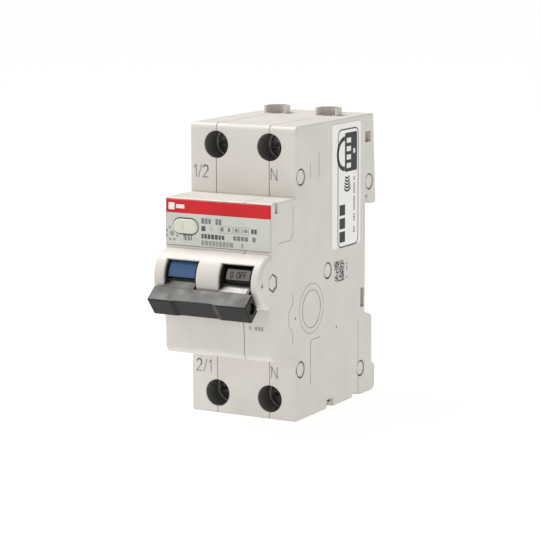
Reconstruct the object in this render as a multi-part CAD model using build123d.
"""Two-module residual current breaker for a 35 mm DIN rail, one STEP file per piece.

Frame: +X right, the operating side faces -Y, +Z up.  The origin is on the
rail-seat plane (Y = 0), at the middle of the width and at the rail's axis.
All lengths are millimetres.  Outlines are (Y, Z) points, extruded along X.
"""
from build123d import *
import os
from math import cos, radians, sin

# ---------------------------------------------------------------- driving dimensions
WIDTH = 35.0                    # two 17.5 mm modules
HALF = WIDTH / 2
SEAM = WIDTH / 4                # cover / centre housing joints, at the module centres
BASE_TOP = 42.9
BASE_BOTTOM = -42.6
SHOULDER_Y = -44.0              # rail seat to shoulder, standard 44 mm
NOSE_Y = -57.6                  # nose front behind the label plate
NOSE_TOP = 22.6                 # nose is 45 mm tall for the cover-plate cut-out
NOSE_BOTTOM = -22.9
WALL = 1.3
PARTITION = 0.6                 # half thickness of the wall between the two cells
SIDE_BEVEL = 0.35
SEAM_HALF = 0.1                 # half width of the visible joint line
SEAM_DEPTH = 0.2

HOOK_TIP_Z = 15.6
SEAT_TOP = 15.4                 # ends of the face that bears on the rail
SEAT_BOTTOM = -15.8
SEAT_RELIEF = 0.15              # running room for the rail's edges beyond it
REAR_TOP_Y = 5.0
REAR_CLAW_Y = 7.0

PIVOT = (-57.7, 0.2)            # toggle axis (Y, Z)
BULGE_R = 7.9                   # curved ribs round the toggle
HUB_BORE_R = 7.4
CHEEK_R = 7.2                   # thin discs at the sides of each toggle hub
HUB_R = 6.6
CHEEK = 0.35
AXLE_R = 1.5
AXLE_HEX_R = 2.85               # hexagonal sockets at the axle's ends
HEX_GAP = 0.6
RUN = 0.05                      # running clearance on the radius
WINDOWS = ((-13.7, -3.2), (4.2, 14.6))
WINDOW_TOP = 45.0               # window edges, degrees above the forward direction
WINDOW_LOW = -60.0
HUB_GAP = 0.25                  # side gap between a toggle hub and its window

BAR_X = (-16.4, 15.6)
FLAG_X = (-12.95, -4.2)
PLATE_X = (6.0, 13.6)
PLATE_INNER_R = 5.2             # the right hub is sunk to this round the position plate
ARM_TOP = (-64.4, -0.5)         # the arms and the bar share one sloping top face
BAR_TOP = (-66.3, -1.99)
BAR_TIP = (-70.4, -5.2)
BAR_BOTTOM = (-66.4, -10.1)
BAR_BACK = (-63.1, -7.2)
BAR_CENTRE = (-66.4, -5.9)
GRIP_X = (-7.6, 4.6)            # flat finger grip on the lower face of the bar
GRIP_DEPTH = 0.45

LABEL_Z = (8.9, 22.1)
LABEL_FRONT = -58.3
PLATE_HALF = 17.1
BUTTON_C = (-10.6, 14.5)        # test button centre (X, Z)
BUTTON_L = 8.0
BUTTON_H = 4.2

TERMINAL_Z = 36.7
SCREW_ACCESS_R = 4.0
GUIDE_R = 4.8                   # outside of the dark sleeve that lines each access hole
GUIDE_Y = -43.7
SCREW_R = 2.45
SCREW_HEAD_R = 3.5
HEAD_Y = (-36.6, -33.4)
ACCESS_END_Y = -36.9            # the screw's head sits in a narrower bore behind this
ENTRY_R = 2.9
TOP_ENTRY_Y = -6.6
BOTTOM_ENTRY_Y = -10.6
COLLAR_HEIGHT = 2.3

PINS = ((-41.2, 28.3), (2.6, 22.4), (-24.4, -1.1), (-41.3, -27.7), (-2.7, -34.4))
PIN_R = 1.7
PIN_HEAD_R = 2.05
PIN_RECESS_R = 2.55
BOSS_R = 2.9

CONTACT_AXIS = (-45.0, -3.0)
LINK_START = (-53.3, 1.6)
LINK_END = (-46.0, 4.0)
CELLS = {"phase": -8.45, "neutral": 9.4}     # middle of each toggle hub, X
MODULES = {"phase": -SEAM, "neutral": SEAM}

CLIP_HALF = 4.6
CLIP_Y = (1.2, 3.4)

TRIP_AXIS = (-42.2, 17.8)
FLAG_INNER_R = 5.5
COIL_X = CELLS["phase"]
COIL_Z = 15.0

parts = {}


# ---------------------------------------------------------------- small helpers
def block(x0, x1, y0, y1, z0, z1):
    """Box between six planes."""
    centre = Pos((x0 + x1) / 2, (y0 + y1) / 2, (z0 + z1) / 2)
    return centre * Box(abs(x1 - x0), abs(y1 - y0), abs(z1 - z0))


def rod_x(radius, x0, x1, y, z):
    """Cylinder along X."""
    return Pos((x0 + x1) / 2, y, z) * Rot(0, 90, 0) * Cylinder(radius, abs(x1 - x0))


def rod_y(radius, y0, y1, x, z):
    """Cylinder along Y."""
    return Pos(x, (y0 + y1) / 2, z) * Rot(90, 0, 0) * Cylinder(radius, abs(y1 - y0))


def rod_z(radius, z0, z1, x, y):
    """Cylinder along Z."""
    return Pos(x, y, (z0 + z1) / 2) * Cylinder(radius, abs(z1 - z0))


def sheet_yz(points, x):
    """Flat (Y, Z) face in the plane at X = x."""
    return Plane.YZ.offset(x) * make_face(Polyline(*points, close=True))


def prism(points, x0, x1):
    """(Y, Z) outline extruded along X."""
    return extrude(sheet_yz(points, x0), x1 - x0)


def prism_xy(points, z0, z1):
    """(X, Y) outline extruded along Z."""
    return extrude(Plane.XY.offset(z0) * make_face(Polyline(*points, close=True)), z1 - z0)


def rounded(points):
    """(Y, Z, corner radius) points to a filleted flat face at X = 0."""
    face = make_face(Polyline(*[(y, z) for y, z, _ in points], close=True))
    for radius in sorted({r for _, _, r in points if r > 0}):
        spots = [Vector(y, z) for y, z, r in points if r == radius]
        corners = [v for v in face.vertices() if min((Vector(v) - s).length for s in spots) < 1e-4]
        face = fillet(corners, radius)
    return face


def polar(radius, angle):
    """Point at an angle above the toggle axis's forward direction, as (Y, Z)."""
    return (PIVOT[0] - radius * cos(radians(angle)), PIVOT[1] + radius * sin(radians(angle)))


def sector(radius, low, high, x0, x1):
    """Solid pie slice about the toggle axis, its rim a true arc."""
    a, b, c = polar(radius, low), polar(radius, (low + high) / 2), polar(radius, high)
    rim = ThreePointArc(a, b, c)
    wire = [Line(PIVOT, a), rim, Line(c, PIVOT)]
    return extrude(Plane.YZ.offset(x0) * make_face(wire), x1 - x0)


def capsule_y(length, height, y0, y1, centre):
    """Slot-shaped plug with round ends, axis along Y, long side along X."""
    flat = SlotOverall(length, height)
    at = Plane(origin=(centre[0], y0, centre[1]), x_dir=(1, 0, 0), z_dir=(0, 1, 0))
    return extrude(at * flat, y1 - y0)


def groove_x(points, side, width=0.25, depth=0.12):
    """Thin line cut into a side face, following straight (Y, Z) runs."""
    cut = None
    for (ya, za), (yb, zb) in zip(points, points[1:]):
        length = Vector(yb - ya, zb - za).length
        angle = Vector(1, 0).get_signed_angle(Vector(yb - ya, zb - za), Vector(0, 0, 1))
        run = Plane.YZ * Pos((ya + yb) / 2, (za + zb) / 2) * Rot(0, 0, angle)
        piece = run * Box(length + width, width, 2 * depth)
        cut = piece if cut is None else cut + piece
    return Pos(side * HALF, 0, 0) * cut


def ring_x(y, z, inner, outer, side, depth):
    """Round groove in a side face."""
    low, high = HALF - depth, HALF + depth
    return rod_x(outer, side * low, side * high, y, z) - rod_x(inner, side * low, side * high, y, z)


def hexagon_x(radius, x0, x1):
    """Hexagonal prism along X on the toggle axis."""
    low, high = min(x0, x1), max(x0, x1)
    face = Plane.YZ.offset(low) * Pos(*PIVOT) * Rot(0, 0, 30) * RegularPolygon(radius, 6)
    return extrude(face, high - low)


def coil_spring(radius, wire, length, turns):
    """Compression spring along +Z from the origin."""
    path = Helix(pitch=length / turns, height=length, radius=radius)
    profile = Plane(path @ 0, z_dir=path % 0) * Circle(wire)
    return sweep(profile, path=path)


# ---------------------------------------------------------------- housing
def outline_points():
    """Side outline of the whole housing, front shoulder first, with corner radii."""
    return [
        (SHOULDER_Y, NOSE_TOP, 0.0),
        (SHOULDER_Y, BASE_TOP, 1.6),
        (REAR_TOP_Y, BASE_TOP, 0.0),
        (REAR_CLAW_Y, HOOK_TIP_Z, 0.6),
        (3.4, HOOK_TIP_Z, 0.3),
        (1.5, 17.4, 0.0),
        (1.5, 18.5, 0.0),
        (-SEAT_RELIEF, 18.5, 0.0),
        (-SEAT_RELIEF, SEAT_TOP, 0.0),
        (0.0, SEAT_TOP, 0.0),
        (0.0, SEAT_BOTTOM, 0.0),
        (-SEAT_RELIEF, SEAT_BOTTOM, 0.0),
        (-SEAT_RELIEF, -17.8, 0.0),
        (1.4, -17.8, 0.0),
        (4.7, -19.0, 0.5),
        (4.9, -33.6, 0.0),
        (6.9, -35.0, 0.5),
        (7.0, -41.4, 0.8),
        (5.4, BASE_BOTTOM, 0.0),
        (SHOULDER_Y, BASE_BOTTOM, 0.0),
        (SHOULDER_Y, NOSE_BOTTOM + 0.3, 0.0),
        (-58.6, NOSE_BOTTOM, 2.6),
        (-58.75, -15.2, 0.0),
        (-59.6, -7.4, 0.0),
        (NOSE_Y - 0.6, 0.2, 0.0),
        (NOSE_Y - 0.6, NOSE_TOP, 0.7),
    ]


def bevelled(edge):
    """True for the long side edges, which are softened; the rail claws stay sharp."""
    return edge.center().Y < -0.5 and edge.length > 1.5


def housing_block():
    """Outer form: outline, softened side edges and the drum-shaped bulge."""
    body = extrude(Plane.YZ.offset(-HALF) * rounded(outline_points()), WIDTH)
    for index in (0, -1):
        rim = body.faces().sort_by(Axis.X)[index].edges()
        body = chamfer([e for e in rim if bevelled(e)], SIDE_BEVEL)
    return body


def make_bulge():
    """Curved ribs in front of the toggle, with softened window edges."""
    bulge = rod_x(BULGE_R, -HALF, HALF, *PIVOT)
    bulge -= hub_bores()
    rims = [e for e in bulge.edges().filter_by(GeomType.CIRCLE) if abs(e.radius - BULGE_R) < 0.01]
    ends = [e for e in rims if abs(e.center().X) > HALF - 0.01]
    bulge = fillet([e for e in rims if e not in ends], 0.4)
    ends = [e for e in bulge.edges().filter_by(GeomType.CIRCLE) if abs(e.center().X) > HALF - 0.01]
    bulge = fillet([e for e in ends if abs(e.radius - BULGE_R) < 0.01], 1.2)
    front = block(-HALF - 1, HALF + 1, -80, NOSE_Y + WALL, -20, 20)
    return bulge & front


def hub_bores():
    """Hub bores with the windows in front of them."""
    cuts = None
    for x0, x1 in WINDOWS:
        bore = rod_x(HUB_BORE_R, x0, x1, *PIVOT)
        bore += sector(12.0, WINDOW_LOW, WINDOW_TOP, x0, x1)
        cuts = bore if cuts is None else cuts + bore
    return cuts


def cavities():
    """The two cells inside, one each side of the partition."""
    space = None
    for x0, x1 in ((-HALF + WALL, -PARTITION), (PARTITION, HALF - WALL)):
        base = block(x0, x1, SHOULDER_Y + WALL, -WALL, BASE_BOTTOM + WALL, BASE_TOP - WALL)
        nose = block(x0, x1, NOSE_Y + WALL, SHOULDER_Y + WALL, NOSE_BOTTOM + 1.6, NOSE_TOP - WALL)
        both = base + nose
        space = both if space is None else space + both
    return space


def terminal_frame(x, end):
    """Screw tube of one terminal; end is +1 for the top and -1 for the bottom."""
    z = end * TERMINAL_Z
    return rod_y(GUIDE_R + 0.9, SHOULDER_Y + 0.4, HEAD_Y[1] + 1.4, x, z)


def terminal_cuts(x, end):
    """Screw access, screw neck, wire entry and busbar slot of one terminal."""
    z = end * TERMINAL_Z
    entry_y = TOP_ENTRY_Y if end > 0 else BOTTOM_ENTRY_Y
    face = BASE_TOP if end > 0 else BASE_BOTTOM
    cuts = rod_y(SCREW_ACCESS_R, SHOULDER_Y - 1, GUIDE_Y + 0.1, x, z)
    cuts += rod_y(GUIDE_R + 0.05, GUIDE_Y, ACCESS_END_Y, x, z)
    cuts += rod_y(SCREW_HEAD_R + 0.25, ACCESS_END_Y - 0.1, HEAD_Y[1] + 0.1, x, z)
    cuts += rod_y(SCREW_R + 0.25, HEAD_Y[1], HEAD_Y[1] + 2, x, z)
    cuts += rod_z(ENTRY_R, face - end * 2.0, face + end * 0.1, x, entry_y)
    tab = entry_y - 3.4
    cuts += block(x - 3.3, x + 3.3, tab - 1.8, tab + 0.2, end * 29.5, end * 31.6)
    return cuts


def collar(x):
    """U-shaped lip round the back of a top wire entry, open to the front."""
    outer, reach = 3.6, 2.4
    low, high = BASE_TOP - 0.5, BASE_TOP + COLLAR_HEIGHT
    lip = rod_z(outer, low, high, x, TOP_ENTRY_Y)
    lip += block(x - outer, x + outer, TOP_ENTRY_Y - reach, TOP_ENTRY_Y, low, high)
    lip -= block(x - outer - 1, x + outer + 1, TOP_ENTRY_Y - 9, TOP_ENTRY_Y - reach, low - 1, high + 1)
    octagon = Pos(x, TOP_ENTRY_Y) * Rot(0, 0, 22.5) * RegularPolygon(3.0, 8, major_radius=False)
    hollow = Pos(0, 0, low - 1) * extrude(octagon, 9.0)
    hollow += block(x - 3.0, x + 3.0, TOP_ENTRY_Y - 9, TOP_ENTRY_Y, low - 1, high + 1)
    return lip - hollow


def inner_ribs():
    """Terminal shelves, screw tubes, pin bosses and the test spring's seat."""
    ribs = None
    for end in (-1, 1):
        shelf = block(-HALF + 0.5, HALF - 0.5, -38.0, -WALL + 0.2, end * 30.0, end * 31.2)
        ribs = shelf if ribs is None else ribs + shelf
        for x in MODULES.values():
            ribs += terminal_frame(x, end)
    for y, z in PINS:
        if y < 0:
            ribs += rod_x(BOSS_R, -HALF + 0.5, HALF - 0.5, y, z)
    seat = block(-HALF + 0.5, -SEAM - 0.05, -49.5, -48.9, 11.4, 17.6)
    ribs += seat - rod_y(1.25, -50, -48, *BUTTON_C)
    return ribs


def window_cuts():
    """Hub bores, the room behind the hubs and the hole for the axle."""
    cuts = hub_bores()
    for x0, x1 in WINDOWS:
        cuts += block(x0, x1, NOSE_Y + WALL, -48.0, -8.6, 8.6)
    return cuts


def side_details(side):
    """Lines, knock-out, pin recesses and small openings of one side face."""
    cuts = None
    for y, z in PINS:
        hole = rod_x(PIN_RECESS_R, side * (HALF - 1.1), side * (HALF + 1), y, z)
        cuts = hole if cuts is None else cuts + hole
    cuts += ring_x(-34.6, -10.8, 5.4, 5.7, side, 0.15)
    cuts += ring_x(-34.6, -10.7, 7.25, 7.4, side, 0.1)
    cuts += groove_x([(-46.1, -19.2), (-46.1, -16.0), (-48.4, -13.6), (-48.4, -9.8),
                      (-46.0, -7.5), (-46.0, -4.8)], side)
    cuts += groove_x([(-45.9, 20.4), (-45.9, 12.6), (-47.5, 11.0), (-54.4, 11.0)], side)
    cuts += groove_x([(-35.2, -33.0), (-35.2, -20.8), (-34.4, -20.0), (-29.3, -20.0)], side)
    cuts += groove_x([(-30.0, 27.2), (-30.0, 34.5)], side, 0.2, 0.12)
    cuts += groove_x([(-35.3, 27.5), (-35.3, 32.1)], side, 0.2, 0.12)
    cuts += groove_x([(-4.4, -19.2), (-4.4, -42.0)], side, 0.25, 0.15)
    low, high = side * (HALF - 0.7), side * (HALF + 1)
    cuts += block(low, high, -56.5, -54.9, 19.6, 24.0)
    deep = side * (HALF - 3.0)
    cuts += block(deep, high, -0.2, 3.5, 34.5, 37.7)
    cuts += block(side * (HALF - WALL - 0.5), high, -2.9, -0.8, -15.5, -9.6)
    cuts += block(side * (HALF - WALL - 1), high, -25.0, -20.6, BASE_BOTTOM - 1, -40.0)
    cuts += block(side * (HALF - WALL - 1), high, -8.2, -2.9, BASE_BOTTOM - 1, -41.4)
    cuts += hexagon_x(AXLE_HEX_R, side * (HALF - 1.0), side * (HALF + 1))
    cuts += rod_x(0.6, side * (HALF - 1.5), high, -63.9, 0.2)
    cuts += rod_x(0.35, side * (HALF - 0.3), high, -44.5, -12.1)
    cuts += rod_x(0.35, side * (HALF - 0.3), high, -18.8, -18.8)
    return cuts


def clip_channel(x):
    """Slot that guides one DIN clip, less the peg that its spring stands on."""
    y0, y1 = CLIP_Y
    half = CLIP_HALF + 0.2
    cut = block(x - half, x + half, y0 - 0.2, y1 + 0.2, -50.0, -10.0)
    cut += block(x - 2.4, x + 2.4, y0 - 0.2, 9.0, -50.0, -41.2)
    return cut - block(x - 1.7, x + 1.7, y0 - 1, y1 + 1, -33.2, -31.4)


def front_pockets():
    """Recess for the label plate and the hole for the test button."""
    low, high = LABEL_Z
    half = PLATE_HALF + 0.05
    cut = block(-half, half, LABEL_FRONT - 2, NOSE_Y, low - 0.1, high + 0.1)
    cut += capsule_y(BUTTON_L + 0.7, BUTTON_H + 0.7, NOSE_Y - 1, NOSE_Y + 3, BUTTON_C)
    return cut


def seam_grooves():
    """Shallow rebates where the covers meet the centre housing; the left one stops at the nose."""
    outer = extrude(Plane.YZ * offset(rounded(outline_points()), 1.0), 2 * SEAM_HALF)
    inner = extrude(Plane.YZ * offset(rounded(outline_points()), -SEAM_DEPTH), 2 * SEAM_HALF)
    band = outer - inner
    band = band - rod_x(BULGE_R - SEAM_DEPTH, -1, 1, *PIVOT)
    base = band & block(-1, 1, SHOULDER_Y - 1, 80, -80, 80)
    return [Pos(-SEAM - SEAM_HALF, 0, 0) * base, Pos(SEAM - SEAM_HALF, 0, 0) * band]


def make_housing():
    """Three sandwich pieces: left cover, centre housing and right cover."""
    shell = housing_block() - cavities()
    keep = housing_block()
    shell = shell + (inner_ribs() & keep)
    for x in MODULES.values():
        shell = shell + collar(x)
    shell = shell - window_cuts() + make_bulge()
    shell = shell - rod_x(AXLE_R + 0.02, -HALF - 1, HALF + 1, *PIVOT)
    for x in MODULES.values():
        for end in (-1, 1):
            shell = shell - terminal_cuts(x, end)
        shell = shell - clip_channel(x)
    for y, z in PINS:
        shell = shell - rod_x(PIN_R, -HALF, HALF, y, z)
    for side in (-1, 1):
        shell = shell - side_details(side)
    shell = shell - front_pockets()
    shell = shell - rod_x(1.0, -HALF + 0.6, HALF - 0.6, *CONTACT_AXIS)
    shell = shell - rod_x(0.9, -HALF + 0.6, HALF - 0.6, *TRIP_AXIS)
    shell = shell - block(-1, 1, -45.5, -39.0, 11.5, 21.0)
    for groove in seam_grooves():
        shell = shell - groove
    far = 80
    parts["left_cover"] = shell & block(-HALF - 5, -SEAM, -far, far, -far, far)
    parts["centre_housing"] = shell & block(-SEAM, SEAM, -far, far, -far, far)
    parts["right_cover"] = shell & block(SEAM, HALF + 5, -far, far, -far, far)


def make_front_trim():
    """Label plate and side sticker."""
    low, high = LABEL_Z
    plate = block(-PLATE_HALF, PLATE_HALF, LABEL_FRONT, NOSE_Y, low, high)
    plate = chamfer(plate.faces().sort_by(Axis.Y)[0].edges(), 0.15)
    plate -= capsule_y(BUTTON_L + 0.7, BUTTON_H + 0.7, LABEL_FRONT - 1, NOSE_Y + 1, BUTTON_C)
    parts["label_plate"] = plate
    sticker = Plane.YZ.offset(HALF) * Pos(-12.7, 23.1) * RectangleRounded(18.6, 36.8, 1.2)
    parts["side_sticker"] = extrude(sticker, 0.1)


def make_pins():
    """Five plastic closing pins and the hexagonal-ended toggle axle."""
    group = []
    for y, z in PINS:
        head = HALF - 0.15
        pin = rod_x(PIN_R, -head, head, y, z)
        for side in (-1, 1):
            pin += rod_x(PIN_HEAD_R, side * (HALF - 1.1), side * head, y, z)
        group.append(pin)
    parts["closing_pins"] = Compound(children=group)
    axle = rod_x(AXLE_R, -HALF + 0.9, HALF - 0.9, *PIVOT)
    for side in (-1, 1):
        axle += hexagon_x(AXLE_HEX_R - HEX_GAP, side * (HALF - 1.0), side * (HALF - 0.2))
    parts["toggle_axle"] = axle
    parts["contact_axle"] = rod_x(1.0, -HALF + 0.7, HALF - 0.7, *CONTACT_AXIS)
    parts["trip_axle"] = rod_x(0.9, -HALF + 0.7, HALF - 0.7, *TRIP_AXIS)


# ---------------------------------------------------------------- toggle
def toggle_half(window):
    """One toggle hub with the arm that reaches out to the handle bar."""
    x0, x1 = window[0] + HUB_GAP, window[1] - HUB_GAP
    hub = rod_x(HUB_R, x0, x1, *PIVOT)
    arm_points = [polar(HUB_R - 0.6, 1), ARM_TOP, BAR_TOP, BAR_BACK, polar(HUB_R - 0.6, -40)]
    hub += prism(arm_points, x0, x1)
    middle = (x0 + x1) / 2
    hub -= block(middle - 1.0, middle + 1.0, PIVOT[0] + 2.4, PIVOT[0] + 9, -7.5, 8.0)
    hub -= rod_x(0.75, middle - 3.2, middle + 3.2, *LINK_START)
    hub += rod_x(CHEEK_R, x0, x0 + CHEEK, *PIVOT) + rod_x(CHEEK_R, x1 - CHEEK, x1, *PIVOT)
    return hub - rod_x(AXLE_R + RUN, x0 - 1, x1 + 1, *PIVOT)


def finger_grip():
    """Shallow recess with sloping ends over the bar's lower face and its tip."""
    (ya, za), (yb, zb) = BAR_TIP, BAR_BOTTOM
    run = Vector(yb - ya, zb - za).length
    low, high = GRIP_X
    outline = [(low - 1.5, 0), (low, -GRIP_DEPTH), (high, -GRIP_DEPTH), (high + 1.5, 0),
               (high + 1.5, 3), (low - 1.5, 3)]
    plane = Plane(origin=(0, ya, za), x_dir=(1, 0, 0), z_dir=(0, yb - ya, zb - za))
    face = plane * make_face(Polyline(*outline, close=True))
    return extrude(face, run + 2) + extrude(face, -2)


def make_toggle():
    """Toggle halves, cross bar, tie pin, position plate and fault flag."""
    left, right = toggle_half(WINDOWS[0]), toggle_half(WINDOWS[1])
    low, high = FLAG_X
    bed = sector(HUB_R + 1, 0, 80, low - 0.15, high + 0.2) - rod_x(FLAG_INNER_R, -HALF, HALF, *PIVOT)
    parts["toggle_left"] = left - bed
    flag = sector(HUB_R, 5, 51, low, high)
    flag -= rod_x(FLAG_INNER_R + 0.1, -HALF, HALF, *PIVOT)
    parts["fault_flag"] = flag
    low, high = PLATE_X
    plate = sector(HUB_R, 10, 37, low, high) - rod_x(PLATE_INNER_R, -HALF, HALF, *PIVOT)
    groove = sector(HUB_R + 1, -1.5, 50, low - 1.0, high + 0.35)
    groove -= rod_x(PLATE_INNER_R, -HALF, HALF, *PIVOT)
    parts["position_plate"] = plate
    parts["toggle_right"] = right - groove - plate
    bar = prism([BAR_TOP, BAR_TIP, BAR_BOTTOM, BAR_BACK], *BAR_X)
    bar = fillet(bar.edges().filter_by(Axis.X).sort_by(Axis.Z)[:-1], 0.3)
    bar = chamfer(bar.faces().sort_by(Axis.X)[0].edges(), 0.2)
    bar = chamfer(bar.faces().sort_by(Axis.X)[-1].edges(), 0.2)
    bar -= finger_grip()
    low, high = BAR_X
    bar -= rod_x(1.7, low - 1, low + 1.1, *BAR_CENTRE) + rod_x(1.7, high - 1.1, high + 1, *BAR_CENTRE)
    bar -= rod_x(1.15, low, high, *BAR_CENTRE)
    parts["handle_bar"] = bar - left - right
    parts["handle_pin"] = rod_x(1.15, low + 0.7, high - 0.7, *BAR_CENTRE)


def make_links():
    """Steel links from the toggle hubs to the contact carriers."""
    for name, x in CELLS.items():
        (ya, za), (yb, zb) = LINK_START, LINK_END
        angle = Vector(1, 0).get_signed_angle(Vector(yb - ya, zb - za), Vector(0, 0, 1))
        length = Vector(yb - ya, zb - za).length
        run = Plane.YZ * Pos((ya + yb) / 2, (za + zb) / 2) * Rot(0, 0, angle)
        strap = Pos(x, 0, 0) * (run * Box(length, 1.4, 1.6))
        link = strap + rod_x(0.95, x - 0.8, x + 0.8, *LINK_START)
        link += rod_x(0.95, x - 0.8, x + 0.8, *LINK_END)
        link += rod_x(0.7, x - 3.0, x + 3.0, *LINK_START)
        link += rod_x(0.5, x - 2.6, x + 2.6, *LINK_END)
        parts[f"{name}_link"] = link


# ---------------------------------------------------------------- contacts
def make_contacts():
    """Carriers on one axle, copper arms with silver tips, and fixed contacts."""
    y, z = CONTACT_AXIS
    for name, x in CELLS.items():
        carrier = None
        for side in (-1, 1):
            x0, x1 = x + side * 1.2, x + side * 2.4
            cheek = prism([(y - 2.6, z + 9.2), (y + 1.4, z + 9.2), (y + 2.6, z), (y + 3.4, z - 7.0),
                           (y - 0.6, z - 7.0), (y - 2.2, z)], min(x0, x1), max(x0, x1))
            carrier = cheek if carrier is None else carrier + cheek
        carrier += block(x - 1.3, x + 1.3, y + 1.2, y + 3.0, z - 6.8, z - 3.4)
        carrier -= rod_x(1.0 + RUN, x - 5, x + 5, y, z)
        carrier -= rod_x(1.5, x - 5, x + 5, *LINK_END)
        parts[f"{name}_contact_carrier"] = carrier
        arm = prism([(y + 3.0, z - 2.6), (y + 4.4, z - 2.6), (y + 5.6, z - 15.6), (y + 4.2, z - 15.6),
                     (y + 3.4, z - 6.8), (y + 3.0, z - 6.0)], x - 1.8, x + 1.8)
        arm += block(x - 1.6, x + 1.6, y + 5.4, y + 6.2, z - 15.2, z - 12.4)
        parts[f"{name}_moving_contact"] = arm - carrier
        fixed = block(x - 2.2, x + 2.2, y + 10.8, y + 12.0, z - 15.6, z - 6.0)
        fixed += block(x - 1.6, x + 1.6, y + 10.3, y + 10.9, z - 14.6, z - 11.4)
        fixed += block(x - 2.2, x + 2.2, y + 10.8, y + 12.8, z - 7.2, z - 6.0)
        parts[f"{name}_fixed_contact"] = fixed


# ---------------------------------------------------------------- release parts
def make_release():
    """Magnetic coil, yoke, plunger, bimetal, trip lever and trip slide."""
    x, z = COIL_X, COIL_Z
    bobbin = rod_y(2.9, -33.0, -19.0, x, z)
    for y0 in (-33.0, -20.0):
        bobbin += rod_y(5.6, y0, y0 + 1.0, x, z)
    parts["coil_bobbin"] = bobbin - rod_y(2.3, -34, -18, x, z)
    winding = None
    for index in range(6):
        y = -31.0 + index * 2.0
        turn = Pos(x, y, z) * Rot(90, 0, 0) * Torus(4.0, 0.85)
        winding = turn if winding is None else winding + turn
    sleeve = rod_y(3.6, -31.9, -20.1, x, z) - rod_y(2.95, -32, -20, x, z)
    parts["magnetic_coil"] = (winding + sleeve) - rod_y(2.95, -33, -19, x, z)
    yoke = block(x - 5, x + 5, -34.4, -33.1, z - 5.5, z + 7.6)
    yoke += block(x - 5, x + 5, -18.9, -17.6, z - 5.5, z + 7.6)
    yoke += block(x - 5, x + 5, -34.4, -17.6, z + 6.3, z + 7.6)
    parts["magnet_yoke"] = yoke - rod_y(2.4, -35, -30, x, z)
    plunger = rod_y(2.2, -30.0, -21.0, x, z) + rod_y(0.8, -38.2, -30.0, x, z)
    parts["magnet_plunger"] = plunger
    spring = coil_spring(1.3, 0.18, 2.6, 4)
    parts["plunger_spring"] = Pos(x, -33.0, z) * Rot(-90, 0, 0) * spring
    parts["bimetal_strip"] = block(x - 2.5, x + 2.5, -9.0, -8.1, -26.0, 6.5)
    parts["bimetal_foot"] = block(x - 2.8, x + 2.8, -10.4, -9.1, -29.0, -22.0)
    slide = block(x - 1.5, x + 1.5, -37.8, -10.8, 4.2, 6.0)
    slide += block(x - 1.5, x + 1.5, -37.8, -36.4, 4.2, 9.0)
    slide += block(x - 1.5, x + 4.2, -39.8, -36.4, 7.4, 9.0)
    parts["trip_slide"] = slide
    ty, tz = TRIP_AXIS
    lever = rod_x(1.9, -14.8, 14.8, ty, tz)
    lever += prism([(ty - 1.2, tz), (ty + 1.2, tz), (ty + 1.6, tz - 5.2), (ty + 0.2, tz - 5.2)],
                   x - 1.6, x + 1.6)
    lever += prism([(ty - 1.2, tz), (ty + 1.2, tz), (ty + 1.6, tz - 5.2), (ty + 0.2, tz - 5.2)],
                   9.2, 12.4)
    lever += prism([(ty - 1.2, tz), (ty + 0.8, tz), (ty + 1.0, tz - 11.0), (ty - 0.2, tz - 11.0)],
                   x + 2.6, x + 4.2)
    parts["trip_lever"] = lever - rod_x(0.9 + RUN, -16, 16, ty, tz)


def make_arc_chute():
    """Stack of steel splitter plates between two fibre cheeks."""
    x = CELLS["phase"]
    plates = []
    for index in range(8):
        z = -27.6 + index * 2.1
        plate = block(x - 4.9, x + 4.9, -31.9, -19.7, z, z + 0.7)
        notch = prism_xy([(x - 1.6, -32.2), (x + 1.6, -32.2), (x, -26.5)], z - 1, z + 2)
        plates.append(plate - notch)
    parts["arc_plates"] = Compound(children=plates)
    low, high = -28.6, -11.2
    frame = block(x - 5.9, x - 5.0, -31.9, -19.0, low, high)
    frame += block(x + 5.0, x + 5.9, -31.9, -19.0, low, high)
    frame += block(x - 5.9, x + 5.9, -19.5, -18.8, low, high)
    parts["arc_chute_frame"] = frame


# ---------------------------------------------------------------- residual current parts
def make_residual_parts():
    """Sum-current transformer, relay, circuit board and test circuit."""
    x, y, z = 9.6, -24.2, -16.0
    at = Pos(x, y, z) * Rot(0, 90, 0)
    core = at * (Cylinder(8.2, 5.0) - Cylinder(4.6, 6.0))
    parts["transformer_core"] = fillet(core.edges(), 0.5)
    turns = []
    for angle in (60, 85, 110, 160, 185, 210):
        loop = Box(2.2, 5.5, 6.8) - Box(4.0, 4.1, 5.3)
        turn = at * Rot(0, 0, angle) * Pos(6.4, 0, 0) * Rot(0, 0, 90) * loop
        turns.append(turn)
    parts["transformer_windings"] = Compound(children=turns)
    relay = block(6.0, 15.4, -33.0, -19.0, 8.4, 22.0)
    relay = fillet(relay.edges(), 0.5)
    parts["relay_case"] = relay - rod_y(1.1, -34, -27, 10.8, COIL_Z)
    parts["relay_pin"] = rod_y(1.0, -38.2, -28.6, 10.8, COIL_Z)
    parts["circuit_board"] = block(1.6, 2.8, -38.0, -6.0, 3.2, 25.6)
    chips = []
    for y0, z0, dy, dz, height in ((-16, 8, 6, 5, 1.6), (-14, 17, 4, 7, 2.4), (-10, 6, 2.2, 2.2, 2.0),
                                   (-10, 12, 2.2, 2.2, 2.0), (-37, 21, 5, 3, 1.4)):
        chips.append(block(2.8, 2.8 + height, y0, y0 + dy, z0, z0 + dz))
    parts["board_components"] = Compound(children=chips)
    resistor = rod_z(1.6, 2.0, 9.0, -14.2, -46.5) + rod_z(0.35, 0.0, 11.5, -14.2, -46.5)
    parts["test_resistor"] = resistor
    bx, bz = BUTTON_C
    strip = block(bx - 1.5, bx + 1.5, -48.6, -48.2, 9.0, bz + 3)
    strip += block(bx - 1.5, bx + 1.5, -48.6, -46.0, 8.6, 9.0)
    parts["test_contact"] = strip


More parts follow.
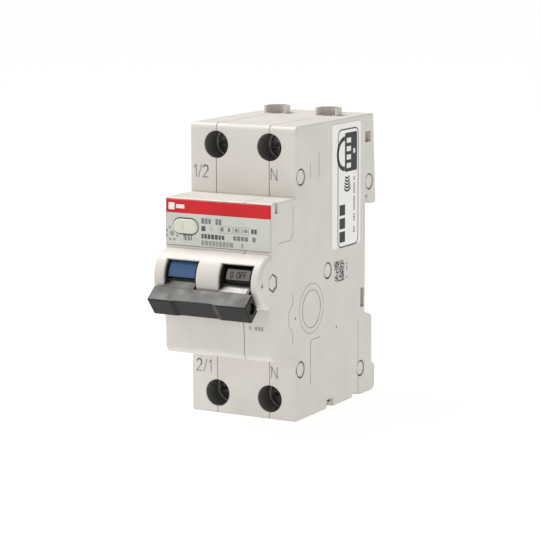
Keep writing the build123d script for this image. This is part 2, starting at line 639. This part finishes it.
def make_test_button():
    """Cap with flange and stem, and its return spring."""
    x, z = BUTTON_C
    cap = capsule_y(BUTTON_L, BUTTON_H, -58.9, -56.0, BUTTON_C)
    cap = fillet(cap.faces().sort_by(Axis.Y)[0].edges(), 0.45)
    cap += capsule_y(BUTTON_L + 1.6, BUTTON_H + 1.4, -56.2, -55.2, BUTTON_C)
    cap += rod_y(1.0, -55.3, -50.0, x, z)
    parts["test_button"] = cap + block(x - 1.1, x - 0.7, -59.0, -58.5, z - 1.3, z + 1.3)
    spring = coil_spring(1.6, 0.2, 5.4, 5)
    parts["test_spring"] = Pos(x, -55.0, z) * Rot(-90, 0, 0) * spring


# ---------------------------------------------------------------- terminals
def make_guides():
    """Sleeves that line the four screw access holes."""
    sleeves = []
    for x in MODULES.values():
        for z in (-TERMINAL_Z, TERMINAL_Z):
            tube = rod_y(GUIDE_R, GUIDE_Y, ACCESS_END_Y, x, z)
            sleeves.append(tube - rod_y(SCREW_ACCESS_R, GUIDE_Y - 1, ACCESS_END_Y + 1, x, z))
    parts["screw_guides"] = Compound(children=sleeves)


def make_terminals():
    """Screws, lift cages and busbars of the four terminals."""
    for pole, x in MODULES.items():
        for place, end in (("top", 1), ("bottom", -1)):
            z = end * TERMINAL_Z
            entry_y = TOP_ENTRY_Y if end > 0 else BOTTOM_ENTRY_Y
            tab_rear = entry_y - 3.4
            name = f"{pole}_{place}"
            screw = rod_y(SCREW_HEAD_R, HEAD_Y[0], HEAD_Y[1], x, z)
            screw = fillet(screw.edges().sort_by(Axis.Y)[0], 0.4)
            screw += rod_y(SCREW_R, HEAD_Y[1] - 0.1, tab_rear - 1.9, x, z)
            screw -= block(x - 3.6, x + 3.6, HEAD_Y[0] - 1, HEAD_Y[0] + 1.4, z - 0.5, z + 0.5)
            screw -= block(x - 0.5, x + 0.5, HEAD_Y[0] - 1, HEAD_Y[0] + 1.8, z - 2.0, z + 2.0)
            parts[f"{name}_screw"] = screw
            front = tab_rear - 6.7
            rear = tab_rear + 6.6
            cage = block(x - 4.9, x + 4.9, front, rear + 1.2, z - 3.9, z + 3.9)
            cage -= block(x - 3.7, x + 3.7, front + 2.6, rear, z - 5, z + 5)
            cage -= rod_y(SCREW_R + RUN, front - 1, front + 3, x, z)
            parts[f"{name}_cage"] = cage
            bar = block(x - 3.0, x + 3.0, tab_rear - 1.5, tab_rear, end * 24.0, end * 41.0)
            bar += block(x - 3.0, x + 3.0, tab_rear - 4.5, tab_rear, end * 24.0, end * 25.5)
            parts[f"{name}_busbar"] = bar


# ---------------------------------------------------------------- DIN clips
def make_clips():
    """Spring-loaded rail clips, one behind each module."""
    y0, y1 = CLIP_Y
    springs = []
    for side, x in (("left", -SEAM), ("right", SEAM)):
        clip = prism([(y0, -16.0), (y0 + 0.9, -16.0), (y1, -18.2), (y1, -42.2), (y0, -42.2)],
                     x - CLIP_HALF, x + CLIP_HALF)
        clip -= block(x - 2.0, x + 2.0, y0 - 1, y1 + 1, -33.4, -21.0)
        clip += block(x - 2.0, x + 2.0, y0, y1 + 1.6, -42.2, -41.6)
        parts[f"{side}_din_clip"] = clip
        springs.append(Pos(x, (y0 + y1) / 2, -31.1) * coil_spring(0.85, 0.16, 9.8, 8))
    parts["clip_springs"] = Compound(children=springs)


# ---------------------------------------------------------------- build
def main():
    """Make every piece and write one STEP file for each."""
    make_housing()
    make_front_trim()
    make_pins()
    make_toggle()
    make_links()
    make_contacts()
    make_release()
    make_arc_chute()
    make_residual_parts()
    make_test_button()
    make_guides()
    make_terminals()
    make_clips()
    os.makedirs("parts", exist_ok=True)
    for node, shape in parts.items():
        export_step(shape, f"parts/{node}.step")


main()
